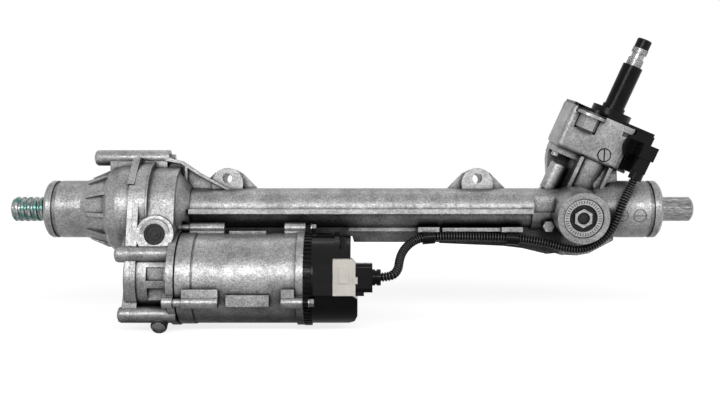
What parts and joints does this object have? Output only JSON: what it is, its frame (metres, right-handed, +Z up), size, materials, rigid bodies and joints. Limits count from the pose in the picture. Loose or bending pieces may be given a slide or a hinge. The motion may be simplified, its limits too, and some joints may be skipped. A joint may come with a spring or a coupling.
{
  "type": "steering rack",
  "caption": "Electric power steering rack: rack bar driven by a belt and ball nut beside it, pinion tower with torque sensor, motor and control unit.",
  "frame": {"origin": "middle of the two subframe bolt holes, on the rear seat faces of the mounting lugs", "axes": "+X along the rack to the right as the driver side sees it, +Y from the viewer to the subframe, +Z up"},
  "size_m": [0.776, 0.145, 0.3292],
  "materials": {
    "cast_aluminium": "grainy as-cast silver",
    "machined_aluminium": "machined",
    "steel": "ground",
    "bearing_steel": "ground and polished",
    "zinc_steel": "zinc plated",
    "rack_steel": "ground, with a faint green tint at the thread",
    "black_plastic": "glass-filled, satin",
    "grey_plastic": "warm grey, satin",
    "board_green": "circuit board",
    "rubber": "matt",
    "belt_rubber": "fabric-faced",
    "laminations": "stacked electrical steel",
    "copper": "enamelled copper",
    "magnet": "nickel plated",
    "liner": "low-friction liner",
    "bronze": "sintered bronze"
  },
  "bodies": {
    "housing": {"main_housing": "cast_aluminium", "gear_cover": "cast_aluminium", "cover_bolts": "zinc_steel", "inspection_plug": "black_plastic", "drain_plug": "zinc_steel", "nut_bearing_outer": "bearing_steel", "bearing_retainer": "steel", "drive_belt": "belt_rubber", "rack_bush": "bronze", "sensor_housing": "cast_aluminium", "pinion_lower_bearing": "bearing_steel", "pinion_upper_bearing": "bearing_steel", "pinion_cap": "zinc_steel", "sensor_screws": "zinc_steel", "clamp_nut": "zinc_steel", "side_cover": "black_plastic", "top_cover": "black_plastic", "input_bearing": "bearing_steel", "shaft_seal": "rubber", "sensor_board": "board_green", "sensor_plug": "black_plastic", "yoke": "machined_aluminium", "yoke_liner": "liner", "yoke_o_rings": "rubber", "yoke_spring": "steel", "yoke_plug": "machined_aluminium", "motor_housing": "cast_aluminium", "motor_bolts": "zinc_steel", "motor_stator": "laminations", "stator_coils": "copper", "motor_front_bearing": "bearing_steel", "motor_rear_bearing": "bearing_steel", "motor_end_plate": "machined_aluminium", "control_band": "black_plastic", "unit_screws": "zinc_steel", "control_cover": "black_plastic", "control_board": "board_green", "unit_socket": "grey_plastic", "unit_plug": "black_plastic", "plug_collar": "black_plastic", "power_socket": "black_plastic", "sensor_cable": "black_plastic", "cable_clips": "black_plastic"},
    "rack": {"rack_bar": "rack_steel"},
    "ball_nut": {"ball_nut": "steel", "nut_pulley": "machined_aluminium", "nut_bearing_inner": "bearing_steel", "pulley_lock_ring": "steel"},
    "motor_rotor": {"motor_shaft": "steel", "rotor_core": "laminations", "rotor_magnets": "magnet", "motor_pulley": "steel"},
    "pinion": {"pinion": "steel", "torsion_bar": "steel", "sensor_ring": "magnet"},
    "input_shaft": {"input_shaft": "steel", "dust_sleeve": "rubber", "shaft_cap": "black_plastic", "sensor_rotor": "steel"}
  },
  "joints": [
    {"name": "motor_spin", "type": "hinge", "parent": "housing", "child": "motor_rotor", "pos_m": [-0.124, -0.0616, -0.1115], "axis": [1, 0, 0], "range_deg": [-10890.76, 10890.76], "deforming": ["drive_belt"]},
    {"name": "nut_spin", "type": "hinge", "parent": "housing", "child": "ball_nut", "pos_m": [-0.24, -0.032, -0.035], "axis": [1, 0, 0], "range_deg": [-3703.6, 3703.6]},
    {"name": "rack_travel", "type": "slide", "parent": "housing", "child": "rack", "axis": [1, 0, 0], "range_m": [-0.07201, 0.07201]},
    {"name": "pinion_spin", "type": "hinge", "parent": "housing", "child": "pinion", "pos_m": [0.2526, -0.01279, -0.03144], "axis": [0.3827, -0.1684, 0.9084], "range_deg": [-491.2, 491.2]},
    {"name": "torsion_twist", "type": "hinge", "parent": "pinion", "child": "input_shaft", "pos_m": [0.28321, -0.02626, 0.04123], "axis": [0.3827, -0.1684, 0.9084], "range_deg": [-4, 4], "stiffness_Nm_per_rad": 110}
  ],
  "couplings": [
    {"joint": "nut_spin", "follows": "motor_spin", "ratio": 0.34},
    {"joint": "rack_travel", "follows": "motor_spin", "m_per_rad": -0.00037879},
    {"joint": "pinion_spin", "follows": "motor_spin", "ratio": -0.045094}
  ]
}
